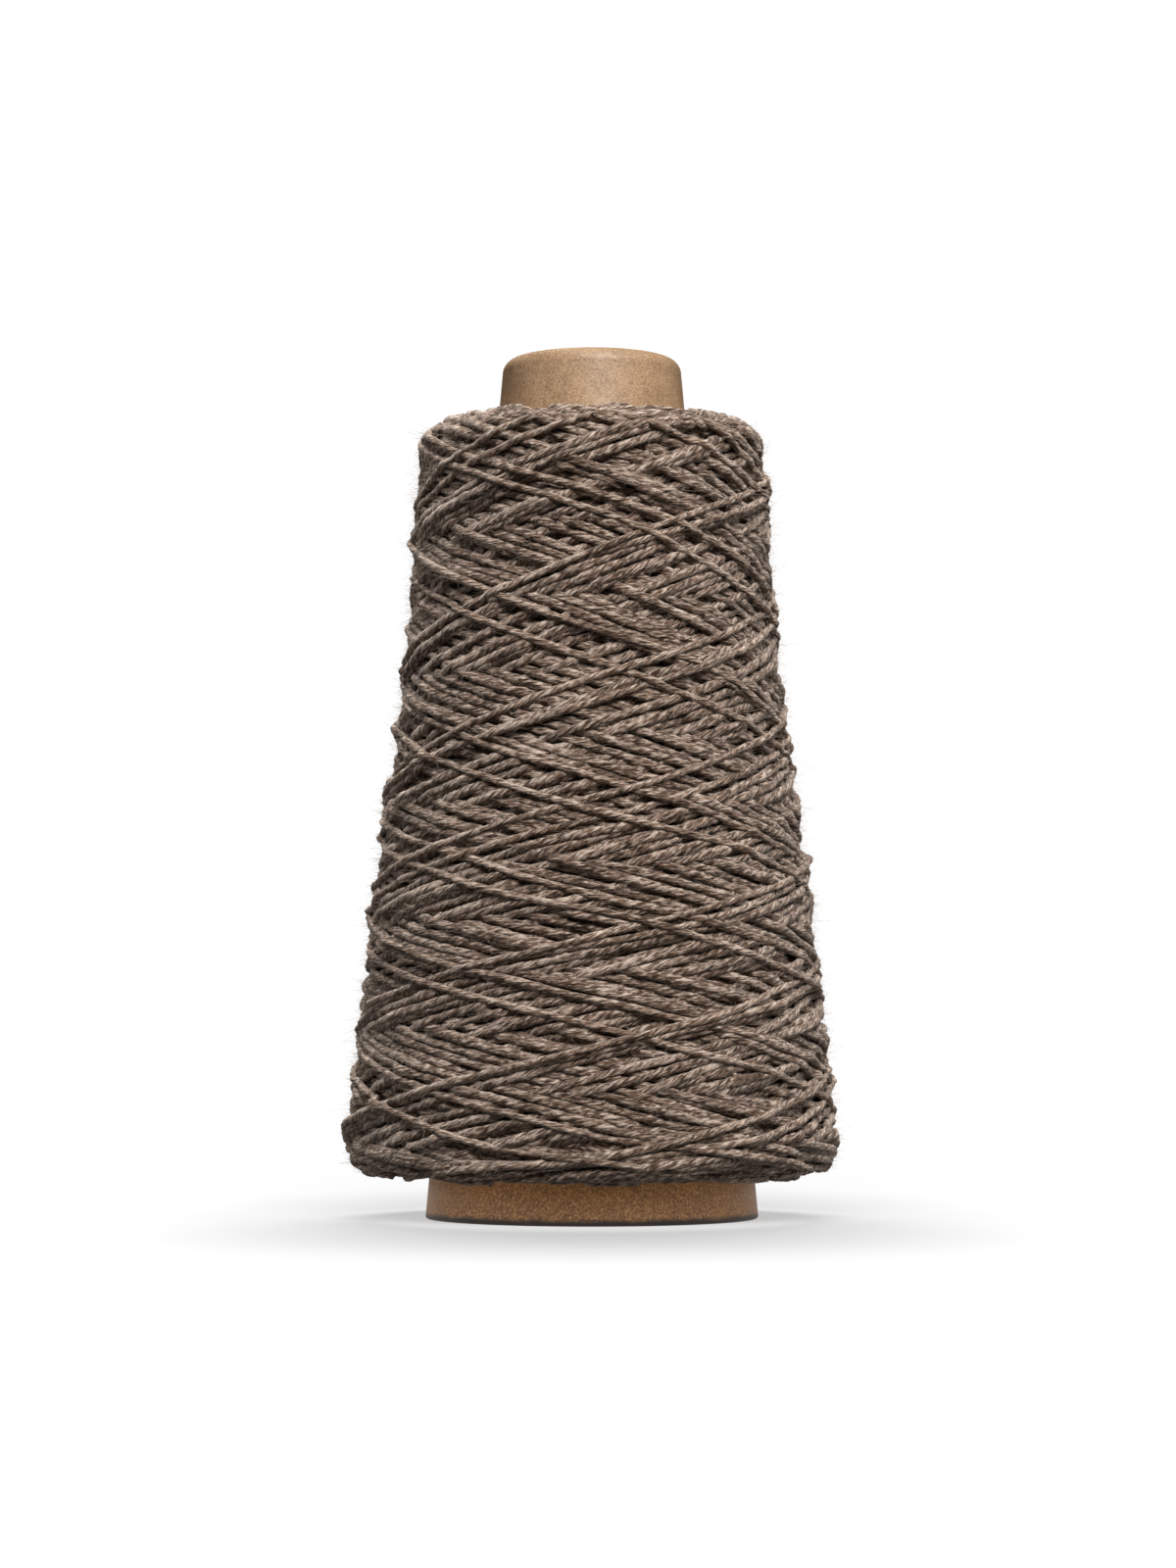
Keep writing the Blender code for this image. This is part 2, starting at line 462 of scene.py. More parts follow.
# %% The height map and how a strand settles on it
CELL = 0.4  # height of a cell of the map
ROUND = 640  # cells round the axis
MAP_MARGIN = 4
MAP_LOW = FOOT - MAP_MARGIN
ROWS = int((HEAD - FOOT + 2 * MAP_MARGIN) / CELL)
SQUASH = 0.38  # crossing strands press into each other
TENSION = 0.3  # 1 would span every hollow in a straight line
MOST_LIFT = 0.6  # a strand never bridges farther off the yarn under it than this
BUILD_UP = 4.2  # thickness of the layers laid here
map_heights = MAP_LOW + np.arange(ROWS) * CELL
inside = (map_heights > FOOT) & (map_heights < HEAD)
target = package_radius(np.clip(map_heights, FOOT, HEAD))
surface = np.tile(np.where(inside, target - BUILD_UP, 0.0), (ROUND, 1))
across = np.linspace(-STRAND, STRAND, 11)  # places across a strand's width
crown = np.sqrt(np.maximum(STRAND**2 - across**2, 0))


def cell(angle, z):
    return (
        np.mod(np.round(angle * ROUND).astype(int), ROUND),
        np.clip(np.round((z - MAP_LOW) / CELL).astype(int), 0, ROWS - 1),
    )


def beside(strand, offset):
    """The map cell this far to the side of each point of a strand."""
    angle, z, radius, lean = strand
    return cell(angle - offset * np.sin(lean) / (radius * TURN), z + offset * np.cos(lean))


def resting(strand):
    """Height of the strand's middle line where it just touches what is under it."""
    found = np.full(len(strand[0]), -np.inf)
    for offset, rise in zip(across, crown):
        found = np.maximum(found, surface[beside(strand, offset)] + rise * SQUASH)
    return found


print("height map:", surface.shape)

# %% [markdown]
# ## Tension
# A strand under tension touches only the tops of what lies under it. Seen
# along its path that is a hull: each point that lies below the line between
# its neighbours is dropped. The package is round, so its curve is taken off
# the heights first and put back after.

# %% Helper: the line that a taut strand takes
def pulled_taut(length, height, radius):
    """The lowest line over these heights that a strand under tension can take."""
    sag = length**2 / (2 * radius)
    flat = height - sag
    kept = []
    for i in range(len(flat)):
        while len(kept) > 1:
            a, b = kept[-2], kept[-1]
            risen, passed = flat[b] - flat[a], length[b] - length[a]
            if risen * (length[i] - length[a]) > (flat[i] - flat[a]) * passed:
                break
            kept.pop()
        kept.append(i)
    return np.interp(length, length[kept], flat[kept]) + sag


spanned = pulled_taut(np.arange(5.0), np.array([1.0, 0, 0, 0, 1]), 1e9)
print("a hollow, spanned:", spanned.round(2).tolist())

# %% [markdown]
# ## Winding
# The passes are laid one after another as one continuous strand. Each end of a
# pass stops at a slightly different height, as a real guide does, and this
# rounds the package's corners. The strand is worked out in short steps, slides
# off its neighbours a few times, and is then added to the height map.

# %% Wind all the passes
MEAN_RADIUS = 42
SLIDE = 0.35  # how far a strand slips down a slope each time
SLIDES = 5
SLIDE_REACH = 14  # mm of strand that slides together
FEELER = 0.3  # to either side, where the slope is felt
END_MARGIN = 0.8  # no strand comes nearer than this to an end face
END_QUIET = 8  # within this of an end face, the guide wanders less
LOW_STOPS, HIGH_STOPS = (0.9, 4.0), (0.9, 4.2)  # range of the turn-backs, from each end face
DRIFT, DRIFT_REACH = 0.5, 35  # mm that the guide drifts, over mm of strand
SLIP = 0.006  # turns by which a turn-back misses its place
turn_counts = np.full(PASSES, TURNS_PER_PASS)
slips = rng.normal(0, SLIP, PASSES)
turn_counts[-LAST_PASSES:] -= LAST_SHORTER
starts = np.concatenate(([0], np.cumsum(turn_counts)))
starts += FRONT_CROSSING - starts[PASSES - 2]
strands = []
for index in range(PASSES):
    turns = turn_counts[index]
    count = int(turns * TURN * MEAN_RADIUS / PATH_STEP)
    travel = np.linspace(0, 1, count)
    z = guide_height(travel, turns)
    if index % 2:
        z = z[::-1]
    angle = starts[index] + slips[index] + travel * turns
    low_end, high_end = rng.uniform(*LOW_STOPS), rng.uniform(*HIGH_STOPS)
    z = FOOT + low_end + (z - FOOT) * (HEAD - FOOT - low_end - high_end) / (HEAD - FOOT)
    away = np.clip(np.minimum(z - FOOT, HEAD - z) / END_QUIET, 0, 1)
    z = z + wander(count, DRIFT_REACH / PATH_STEP, DRIFT) * away
    radius = package_radius(z)
    ahead = radius * np.gradient(angle) * TURN
    lean = np.arctan2(np.gradient(z), ahead)
    length = np.cumsum(np.hypot(np.gradient(z), ahead))
    for _ in range(SLIDES):
        above, below = (resting((angle, z + side, radius, lean)) for side in (FEELER, -FEELER))
        z = z - SLIDE * smoothed(np.clip(above - below, -1, 1), SLIDE_REACH / PATH_STEP)
        z = np.clip(z, FOOT + END_MARGIN, HEAD - END_MARGIN)
    rest = resting((angle, z, radius, lean))
    taut = pulled_taut(length, rest, (radius / np.cos(lean) ** 2).mean())
    middle = smoothed(rest + np.minimum((taut - rest) * TENSION, MOST_LIFT), 3)
    for offset, rise in zip(across, crown):
        np.maximum.at(surface, beside((angle, z, radius, lean), offset), middle + rise * SQUASH)
    strands.append({"angle": angle, "z": z, "middle": middle, "lean": lean, "length": length})
metres = sum(strand["length"][-1] for strand in strands) / 1000
print("wound", round(metres, 1), "m of yarn")

# %% [markdown]
# ## Settling to the package's form
# A wound package keeps an even outline, because each layer presses down what
# stands proud. The broad unevenness of the height map is measured against the
# sized outline and taken off every strand, so only the strands' own bumps stay.

# %% Broad unevenness of the map
BROAD_ROUND, BROAD_UP = 18, 24  # cells over which it is averaged
PROUD_BY = 0.35  # the outline is that of the strands that stand proud


def blurred(values, reach_round, reach_up):
    """A broad average, joined up round the package, with nothing beyond its ends."""
    for axis, reach in ((0, reach_round), (1, reach_up)):
        kernel = np.hanning(2 * reach + 1)
        kernel /= kernel.sum()
        pads = [(0, 0), (0, 0)]
        pads[axis] = (reach, reach)
        padded = np.pad(values, pads, mode="wrap" if axis == 0 else "constant")
        total = np.zeros_like(values)
        for shift, share in enumerate(kernel):
            cut = padded[shift:shift + ROUND] if axis == 0 else padded[:, shift:shift + ROWS]
            total += share * cut
        values = total
    return values


known = inside[None, :] * np.ones_like(surface)
covered = np.maximum(blurred(known, BROAD_ROUND, BROAD_UP), 1e-3)
excess = blurred((surface - target) * known, BROAD_ROUND, BROAD_UP) / covered + PROUD_BY
bumps = (surface - excess - target)[:, inside]
print("bumps on the outline, mm:", np.percentile(bumps, [5, 50, 95]).round(2))

# %% [markdown]
# ## Rounded shoulders
# Where a strand turns back near an end face, its tension pulls the corner of
# the package round. So whatever stands past the shoulder's own curve there is
# drawn most of the way in to it.

# %% Draw strands in at the shoulders
SHOULDERS = np.array([
    # height, radius of a strand's middle line on the shoulder
    (8.0, 41.0),
    (10.0, 45.3),
    (12.0, 47.3),
    (17.0, 49.9),
    (20.0, 60.0),
    (147.0, 60.0),
    (149.5, 35.8),
    (152.0, 34.7),
    (153.5, 33.4),
    (155.0, 31.2),
    (156.2, 29.0),
    (157.0, 27.0),
])
KEPT_PROUD = 0.3  # share of its height over the shoulder that a strand keeps


def drawn_in(middle, z):
    limit = np.interp(z, SHOULDERS[:, 0], SHOULDERS[:, 1])
    return np.minimum(middle, limit + KEPT_PROUD * (middle - limit))


print("shoulder at 155 mm:", float(np.interp(155, SHOULDERS[:, 0], SHOULDERS[:, 1])), "mm from the axis")

# %% [markdown]
# ## What can be seen
# Most of the yarn lies buried, so only lengths that show from outside get a
# mesh. A length shows where the map isn't much higher than the strand. Short
# hidden stretches under a crossing are kept, so no cut end is in view.

# %% Lengths of strand that show
HIDING = 0.4  # mm of yarn over a strand that hide it
SPARE = 2.5  # mm kept at each end of a length that shows
SHORTEST = 5  # mm


def showing(strand):
    """Where along a strand some of its width shows."""
    place = (strand["angle"], strand["z"], strand["middle"], strand["lean"])
    seen = np.zeros(len(strand["z"]), bool)
    for offset in (-0.6 * STRAND, 0.0, 0.6 * STRAND):
        top = strand["middle"] + SQUASH * math.sqrt(STRAND**2 - offset**2)
        seen |= surface[beside(place, offset)] < top + HIDING
    return smoothed(seen.astype(float), SPARE / PATH_STEP) > 0.02


def runs(mask, least):
    """Start and end of each stretch of True, joined over gaps shorter than least samples."""
    edges = np.flatnonzero(np.diff(np.concatenate(([0], mask.astype(int), [0]))))
    pairs = [list(pair) for pair in edges.reshape(-1, 2)]
    merged = pairs[:1]
    for start, end in pairs[1:]:
        if start - merged[-1][1] < least:
            merged[-1][1] = end
        else:
            merged.append([start, end])
    return [(start, end) for start, end in merged if end - start >= least]


fragments = []
for order, strand in enumerate(strands):
    for start, end in runs(showing(strand), SHORTEST / PATH_STEP):
        fragments.append((order, start, end))
seen_length = sum(end - start for _, start, end in fragments) * PATH_STEP / 1000
print(len(fragments), "lengths show,", round(seen_length, 1), "m in all")

# %% [markdown]
# ## Sweeping a strand
# Each length becomes a tube: rings of six points round the middle line, joined
# by faces, with more of the points on the side that shows. The strand thickens
# and thins a little, as spun wool does. Its UV map "strand" holds how far along
# the yarn a point is and where round it, which the wool finish needs.

# %% Helper: sweep a ring along a middle line
RING = np.array([0.0, 0.22, 0.36, 0.5, 0.64, 0.78, 1.0])  # shares of a turn, from the inward side
SIDES = len(RING) - 1
MESH_STEP = 0.95  # mm between rings
ROUGHNESS = 0.08  # uneven wool, as a share of the strand's radius
END_TAPER = 0.15


def swept(points, outward, radii, along, widening=1.0, height=1.0):
    """Points, faces and strand UVs of one tube that tapers off at both ends."""
    count = len(points)
    ahead = np.gradient(points, axis=0)
    ahead /= np.linalg.norm(ahead, axis=1)[:, None]
    up = outward - (outward * ahead).sum(1)[:, None] * ahead
    up /= np.linalg.norm(up, axis=1)[:, None]
    side = np.cross(ahead, up)
    turn = RING[:-1] * TURN + math.pi
    radii = radii[:, None] * (1 + rng.normal(0, ROUGHNESS, (count, SIDES)))
    radii[[0, -1]] *= END_TAPER
    ring = up[:, None] * np.cos(turn)[None, :, None] * height
    ring = ring + side[:, None] * np.sin(turn)[None, :, None] * widening
    mesh_points = (points[:, None] + radii[:, :, None] * ring).reshape(-1, 3)
    at, part = np.meshgrid(np.arange(count - 1), np.arange(SIDES), indexing="ij")
    here, there, after = at * SIDES, (at + 1) * SIDES, (part + 1) % SIDES
    faces = quads(here + part, here + after, there + after, there + part)
    return mesh_points, faces, corner_uvs(along[at], along[at + 1], RING[part], RING[part + 1])


print("rings of", SIDES, "points every", MESH_STEP, "mm")

# %% [markdown]
# ## A sheet to bake through
# Colours can be baked from the finish to a picture only where no two faces
# share a place. So a second map cuts the strands into rows and lays the rows
# side by side on one square sheet, with a little room between them.

# %% Helper: all steps of the strands in rows on a sheet
ROW_GAP = 0.06  # share of a row's height


def on_sheet(step_count):
    girth = TURN * STRAND
    per_row = max(1, round(math.sqrt(step_count * MESH_STEP / girth) * girth / MESH_STEP))
    step = np.arange(step_count * SIDES) // SIDES
    part = np.arange(step_count * SIDES) % SIDES
    row_count = math.ceil(step_count / per_row)
    row, column = step // per_row, step % per_row
    low = ROW_GAP / 2 + part / SIDES * (1 - ROW_GAP)
    high = ROW_GAP / 2 + (part + 1) / SIDES * (1 - ROW_GAP)
    x0, x1 = column / per_row, (column + 1) / per_row
    return corner_uvs(x0, x1, (row + low) / row_count, (row + high) / row_count)


print("a sheet for 2 steps has", len(on_sheet(2)), "corners")

# %% [markdown]
# ## The wool
# The yarn is two plies of heathered wool twisted together, dyed in the fleece
# and blended, so pale, taupe and dark brown fibres lie side by side with a rare
# rust-coloured one. The finish is worked out in the strand's own directions:
# two grooves between the plies wind round it, and noise drawn out along the
# twist makes locks, fibres and hairs. One shade drives both colour and bump.
# The newest turns get a paler copy of the wool, which is painted light: no other strand shades them.

# %% Wool finish
PLY_PITCH = 7.0  # mm of strand for one turn of the plies
FIBRE_PITCH = 15.0  # the fibres lean less, because plying undoes part of their twist


def wool_finish(name, dark, middle, pale):
    wool = Finish(name)
    place = wool.node("ShaderNodeUVMap", {"uv_map": "strand"})
    along = wool.node("ShaderNodeSeparateXYZ", {}, {"Vector": place})
    around = wool.node("ShaderNodeSeparateXYZ", {}, {"Vector": place}, output=1) * TURN

    def twisted(pitch, stretch):
        """Places on the strand in mm, turned with a twist and drawn out along it."""
        turned = around + along * (TURN / pitch)
        return wool.vector(turned.cos() * STRAND, turned.sin() * STRAND, along * stretch)

    ply_turn = around + along * (TURN / PLY_PITCH)
    groove_relief_and_shade = (ply_turn * 2).cos().ramp(0.45, 1.0)
    locks = wool.noise(twisted(FIBRE_PITCH, 0.30), 1.4, detail=1, roughness=0.5)
    fibres = wool.noise(twisted(FIBRE_PITCH, 0.22), 2.8, detail=2, roughness=0.5)
    hairs = wool.noise(twisted(FIBRE_PITCH, 0.14), 7.0, detail=2, roughness=0.7)
    slow = wool.noise(wool.vector(along * 0.05, 0.0, 0.0), 1.0, detail=2)
    # The ply grooves darken the colour as painted shade in the creases, and give real relief through the
    # bump.
    shade = locks * 0.25 + fibres + hairs * 0.4 + slow * 0.5 - groove_relief_and_shade * 0.06 - 0.555
    tone = wool.mix(shade.spread(0.34, 0.50), dark, middle)
    tone = wool.mix(shade.spread(0.50, 0.67), tone, pale)
    russet = wool.noise(twisted(FIBRE_PITCH, 0.12), 3.2, detail=2)
    tone = wool.mix(russet.ramp(0.54, 0.68) * 0.5, tone, srgb(118, 80, 56))
    tone = wool.mix(russet.ramp(0.29, 0.23) * 0.5, tone, srgb(176, 122, 62))
    wool.set("Base Color", tone)
    wool.set("Roughness", 0.95)
    wool.set("Specular IOR Level", 0.08)
    wool.set("Sheen Weight", 0.42)
    wool.set("Sheen Tint", srgb(236, 226, 216))
    wool.set("Sheen Roughness", 0.5)
    wool.set("Normal", wool.bump(shade - groove_relief_and_shade * 0.15, 1.0, 0.0007))
    return wool


wool = wool_finish("heathered wool", srgb(43, 28, 19), srgb(114, 91, 75), srgb(202, 182, 166))
# A paler copy of the same wool for the newest turns: painted light.
painted_lit_wool = wool_finish("wool painted paler on top", srgb(56, 40, 30), srgb(129, 104, 86), srgb(212, 192, 175))
print("each wool finish has", len(wool.nodes), "nodes")

# %% [markdown]
# ## The wound turns
# The lengths that show are swept from the oldest to the newest and joined into
# a few meshes, because one mesh of everything would be clumsy to handle. Where
# others lie over a strand it is pressed wider and flatter, and the last few
# passes stay round.

# %% Helper: the middle line of one length
FACING_UP = 0.1  # the side of a cone faces a little upward


def middle_line(strand, start, end):
    """Points of one length, with their outward directions and places on the yarn."""
    pick = np.arange(start, end)
    length = strand["length"][pick]
    steps = max(3, round((length[-1] - length[0]) / MESH_STEP))
    even = np.linspace(length[0], length[-1], steps + 1)
    angle = np.interp(even, length, strand["angle"][pick])
    z = np.interp(even, length, strand["z"][pick])
    middle = np.interp(even, length, strand["middle"][pick])
    column = np.mod(angle * ROUND, ROUND).astype(int)
    row = ((z - MAP_LOW) / CELL).astype(int)
    middle = middle - smoothed(excess[column, np.clip(row, 0, ROWS - 1)], 2)
    middle = drawn_in(middle, z)
    x, y = np.cos(angle * TURN), np.sin(angle * TURN)
    points = np.stack([middle * x, middle * y, z], axis=1)
    outward = np.stack([x, y, np.full_like(x, FACING_UP)], axis=1)
    return points, outward, even


longest = max(fragments, key=lambda fragment: fragment[2] - fragment[1])
print("the longest length has", len(middle_line(strands[longest[0]], *longest[1:])[0]), "rings")

# %% [markdown]
# ## Many strands in one mesh
# Each swept strand brings its own points and faces. They are laid end to end
# in one list, with the faces' numbers moved on past the points before them.

# %% Helper: join swept strands
def joined(name, swept_strands, finish):
    points, faces, uvs, base, steps = [], [], [], 0, 0
    for strand_points, strand_faces, strand_uvs in swept_strands:
        points.append(strand_points)
        faces.append(strand_faces + base)
        uvs.append(strand_uvs)
        base += len(strand_points)
        steps += len(strand_points) // SIDES - 1
    maps = {"strand": np.concatenate(uvs), "OFBake": on_sheet(steps)}
    obj = mesh_object(name, np.concatenate(points), np.concatenate(faces), maps, finish)
    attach(obj, "root")
    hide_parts("yarn")
    print(name, "has", len(obj.data.polygons), "faces")


print("each step of a strand has", SIDES, "faces")

# %% [markdown]
# ## Old turns and new
# The strands keep their order, so each mesh holds a share of the layers. The
# wool of each pass starts elsewhere on the yarn, so no two look the same.

# %% Mesh of the wound turns
NEWEST = 12  # passes that nothing has pressed yet
PRESSED, PRESSED_HEIGHT = 1.26, 0.94  # width and height of a pressed strand
FULLNESS = 1.04  # between crossings the wool swells a little
UNEVEN, UNEVEN_REACH = 0.10, 6  # the spinner's thick and thin, over mm of strand
YARN_APART = 733.0  # mm of yarn from one pass's wool to the next one's
PIECES = 5


def strand_mesh(order, start, end):
    line, outward, along = middle_line(strands[order], start, end)
    radii = STRAND * FULLNESS * (1 + wander(len(line), UNEVEN_REACH / MESH_STEP, UNEVEN))
    form = (PRESSED, PRESSED_HEIGHT) if order < PASSES - NEWEST else (1.0, 1.0)
    return swept(line, outward, radii, along + order * YARN_APART, *form)


pressed_turns = [fragment for fragment in fragments if fragment[0] < PASSES - NEWEST]
newest_turns = [fragment for fragment in fragments if fragment[0] >= PASSES - NEWEST]
lengths = np.cumsum([end - start for _, start, end in pressed_turns])
share = np.minimum((lengths - 1) * PIECES // lengths[-1], PIECES - 1)
for number in range(PIECES):
    chosen = [fragment for fragment, part in zip(pressed_turns, share) if part == number]
    joined(f"wound_turns_{number + 1}", (strand_mesh(*fragment) for fragment in chosen), wool)
# The newest turns wear the paler copy of the wool, as painted light.
joined("newest_turns", (strand_mesh(*fragment) for fragment in newest_turns), painted_lit_wool)

# %% [markdown]
# ## The end faces
# At each end every layer turns back, so the end faces show arcs side by side,
# from the tube out to the corner. Each arc rises to its highest point and
# dips under its neighbours again, as a turn-back does.

# %% Arcs on the two end faces
ARCS_ROUND = 5
ARC_TURNS = 0.30
ARC_DIP = 1.8  # how far the ends of an arc sink
ARC_PITCH = 1.25  # from one ring of arcs to the next
ARC_CLEAR = 0.1  # between the tube and the innermost arcs
SUNK = 0.3  # the arcs lie at least this far under the end face
YARN_LENGTH = 5000  # mm of yarn that the arcs' wool is picked from
# How far an arc differs by chance: round the face, off its ring, in depth, as a wave, in its wool.
ARC_SHIFT, ARC_STRAY, ARC_DEEPER, ARC_WAVE, ARC_UNEVEN = 0.1, 0.2, 0.5, 0.12, 0.07


def end_arcs(face_height, inward, corner):
    """Swept arcs of one end face; inward is -1 at the head and 1 at the foot."""
    from_radius = tube_radius(face_height) + STRAND + ARC_CLEAR
    edge_radius = float(side_radius(face_height))
    for ring_radius in np.arange(from_radius, edge_radius - 1.0, ARC_PITCH):
        turned_by = rng.uniform()
        for arc_number in range(ARCS_ROUND):
            count = max(6, round(ring_radius * ARC_TURNS * TURN / MESH_STEP))
            share_along = np.linspace(-1, 1, count)
            centre = turned_by + (arc_number + rng.normal(0, ARC_SHIFT)) / ARCS_ROUND
            turn = (centre + share_along * ARC_TURNS / 2) * TURN
            radius = ring_radius + rng.normal(0, ARC_STRAY) + wander(count, 10, ARC_WAVE)
            beyond = max(0.0, ring_radius - (edge_radius - corner))
            drop = SUNK + rng.uniform(0, ARC_DEEPER) + ARC_DIP * share_along**2
            drop += corner - math.sqrt(max(0.0, corner**2 - beyond**2))
            z = face_height + inward * (STRAND + drop)
            line = np.stack([radius * np.cos(turn), radius * np.sin(turn), z], axis=1)
            outward = np.tile((0.0, 0.0, -float(inward)), (count, 1))
            along = np.arange(count) * MESH_STEP + rng.uniform(0, YARN_LENGTH)
            yield swept(line, outward, STRAND * (1 + wander(count, 7, ARC_UNEVEN)), along)


joined("head_turns", end_arcs(HEAD, -1, HEAD_CORNER), wool)
joined("foot_turns", end_arcs(FOOT, 1, FOOT_CORNER), wool)

# %% [markdown]
# ## The heart of the package
# Under the strands that show lies the rest of the winding. A plain turned body
# a little below them stops light and sight from passing through.

# %% Heart of the winding
HEART_DEPTH = 2.2  # under the outline
HEART_END = 2.6  # under the end faces
CUT_IN, CUT_DOWN = 2.5, 2.0  # cut off its corners
HEART_GAP = 0.3  # to the tube
low, high = FOOT + HEART_END, HEAD - HEART_END


def heart_radius(z):
    return float(side_radius(z)) - HEART_DEPTH


outer = [(heart_radius(z), z) for z in np.linspace(high - CUT_DOWN, low + CUT_DOWN, 60)]
outer = [(heart_radius(high) - CUT_IN, high)] + outer + [(heart_radius(low) - CUT_IN, low)]
inner = [(tube_radius(z) + HEART_GAP, z) for z in np.linspace(low, high, 8)]
heart = turned("winding_heart", outer + inner, 96, wool)
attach(heart, "root")
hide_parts("yarn")
print("heart faces:", len(heart.data.polygons))

# %% [markdown]
# ## Wool on the heart
# The wool finish reads its place from the map "strand". The heart gets one
# whose length runs round it and whose turns run up it, so that what shows
# between two strands is streaked level, like more yarn.

# %% Strand map of the heart
corner_at = np.empty(len(heart.data.loops), np.int32)
heart.data.loops.foreach_get("vertex_index", corner_at)
flat = np.empty(len(heart.data.vertices) * 3, np.float32)
heart.data.vertices.foreach_get("co", flat)
baked = np.empty(len(corner_at) * 2, np.float32)
heart.data.uv_layers["OFBake"].uv.foreach_get("vector", baked)
level = flat.reshape(-1, 3)[corner_at, 2] / MM
strand_uv = np.stack([baked[::2] * TURN * MEAN_RADIUS, level / (TURN * STRAND)], axis=1)
strand_map = heart.data.uv_layers.new(name="strand")
strand_map.uv.foreach_set("vector", strand_uv.astype(np.float32).ravel())
print("mapped", len(strand_uv), "corners")

# %% [markdown]
# ## Where fibres come loose
# Woollen yarn is hairy, and ends of fibres stand off the strands. They are
# rooted where rubbing reaches the wool: more on the newer strands, and each at
# the proudest of a few places picked by chance.

# %% Roots of the loose fibres
FIBRES = 48000
TRIES = 3
ROOT_AT = 0.8  # share of the strand's radius
roots, normals, tangents = [], [], []


def proudest(strand, tries):
    """The one of a few places on a strand where the least yarn stands over it."""
    over = surface[cell(strand["angle"][tries], strand["z"][tries])] - strand["middle"][tries]
    return tries[np.argmin(over)]


weights = np.array([(end - start) * (1 + order / PASSES) for order, start, end in fragments])
picks = rng.choice(len(fragments), FIBRES, p=weights / weights.sum())
for pick in picks:
    order, start, end = fragments[pick]
    strand = strands[order]
    at = proudest(strand, rng.integers(start + 1, end - 1, TRIES))
    turn, z = strand["angle"][at] * TURN, strand["z"][at]
    column = int(strand["angle"][at] * ROUND) % ROUND
    row = min(ROWS - 1, int((z - MAP_LOW) / CELL))
    radius = drawn_in(strand["middle"][at] - excess[column, row], z) + STRAND * ROOT_AT
    out = np.array((math.cos(turn), math.sin(turn), 0.0))
    roots.append(out * radius + (0, 0, z + rng.uniform(-0.5, 0.5) * STRAND))
    normals.append(out)
    tangents.append((-math.sin(turn), math.cos(turn), math.tan(strand["lean"][at])))
roots, normals, tangents = map(np.array, (roots, normals, tangents))
print("rooted", len(roots), "fibres")

# %% [markdown]
# ## Loose fibres
# Each fibre is a curved ribbon 0.06 mm wide. It leaves along the strand, one
# way or the other, rises off it and droops by chance. Together they make a
# pale haze round the outline.

# %% Mesh of the loose fibres
FIBRE_WIDTH = 0.06
FIBRE_POINTS = 3
TIP_WIDTH = 0.4  # share of the width that is left at the tip
SHORT, LONG, STRAY = 0.5, 1.5, 0.6  # mm: the lengths of most, and how far strays go beyond
STAND, DROOP = 0.6, 0.8  # rise and bend of a fibre, as shares of its length
sense = rng.choice((-1, 1), FIBRES)[:, None]
reach = (rng.uniform(SHORT, LONG, FIBRES) + rng.exponential(STRAY, FIBRES))[:, None]
stand = np.abs(rng.normal(STAND, STAND, FIBRES))[:, None]
droop = rng.normal(0, DROOP, (FIBRES, 3))
line = []
for share_along in np.linspace(0, 1, FIBRE_POINTS):
    bend = droop * share_along**2
    line.append(roots + reach * (share_along * (sense * tangents + stand * normals) + 0.5 * bend))
line = np.stack(line, axis=1)
broad = np.cross(np.gradient(line, axis=1), rng.normal(0, 1, (FIBRES, 1, 3)))
broad /= np.linalg.norm(broad, axis=2, keepdims=True)
half = broad * FIBRE_WIDTH / 2 * np.linspace(1.0, TIP_WIDTH, FIBRE_POINTS)[None, :, None]
sides = np.stack([line - half, line + half], axis=2)
ribbon, piece = np.meshgrid(np.arange(FIBRES), np.arange(FIBRE_POINTS - 1), indexing="ij")
first = (ribbon * FIBRE_POINTS + piece) * 2
fibre_faces = quads(first, first + 2, first + 3, first + 1)
fibre_finish = Finish("loose wool fibre")
# The fibres are paler than the wool's middle tone: partly the wool's pale fibres, partly painted light
# for a backlit haze round the outline.
fibre_finish.set("Base Color", srgb(186, 168, 152))
fibre_finish.set("Alpha", 0.6)
fibre_finish.set("Roughness", 0.7)
loose = mesh_object("loose_fibres", sides.reshape(-1, 3), fibre_faces, {}, fibre_finish)
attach(loose, "root")
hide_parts("yarn")
print("loose fibres:", FIBRES, "in", len(loose.data.polygons), "faces")

# %% [markdown]
# ## The floor
# The cone stands on a white sweep that fades into the background. The floor
# glows a little of itself to stay evenly white, with painted light just round the
# base and a painted shadow in a wide oval round the cone, which softens the edge of its shadow.

# %% White floor
FADE_FROM, FADE_TO = 0.25, 0.60  # metres from the axis over which the floor fades to white
OVAL_ACROSS = 1.5  # the shaded oval is this much narrower across the view


def grey(level):
    return (level, level, level, 1)


floor_finish = Finish("white floor")
floor_finish.set("Base Color", grey(0.35))
floor_finish.set("Emission Strength", 0.53)
floor_finish.set("Roughness", 0.9)
floor_finish.set("Specular IOR Level", 0.1)
where = floor_finish.node("ShaderNodeTexCoord", output="Object")
drawn = floor_finish.node(
    "ShaderNodeVectorMath", {"operation": "MULTIPLY"}, {0: where, 1: (OVAL_ACROSS, 1, 1)}
)
far, oval = (
    floor_finish.node("ShaderNodeVectorMath", {"operation": "LENGTH"}, {"Vector": place}, "Value")
    for place in (where, drawn)
)
floor_finish.set("Alpha", 1 - far.ramp(FADE_FROM, FADE_TO))
# Painted light: the floor glows fully close to the base, and a little less farther out.
even_glow_and_painted_light = floor_finish.mix(far.ramp(38 * MM, 50 * MM), grey(1), grey(0.925))
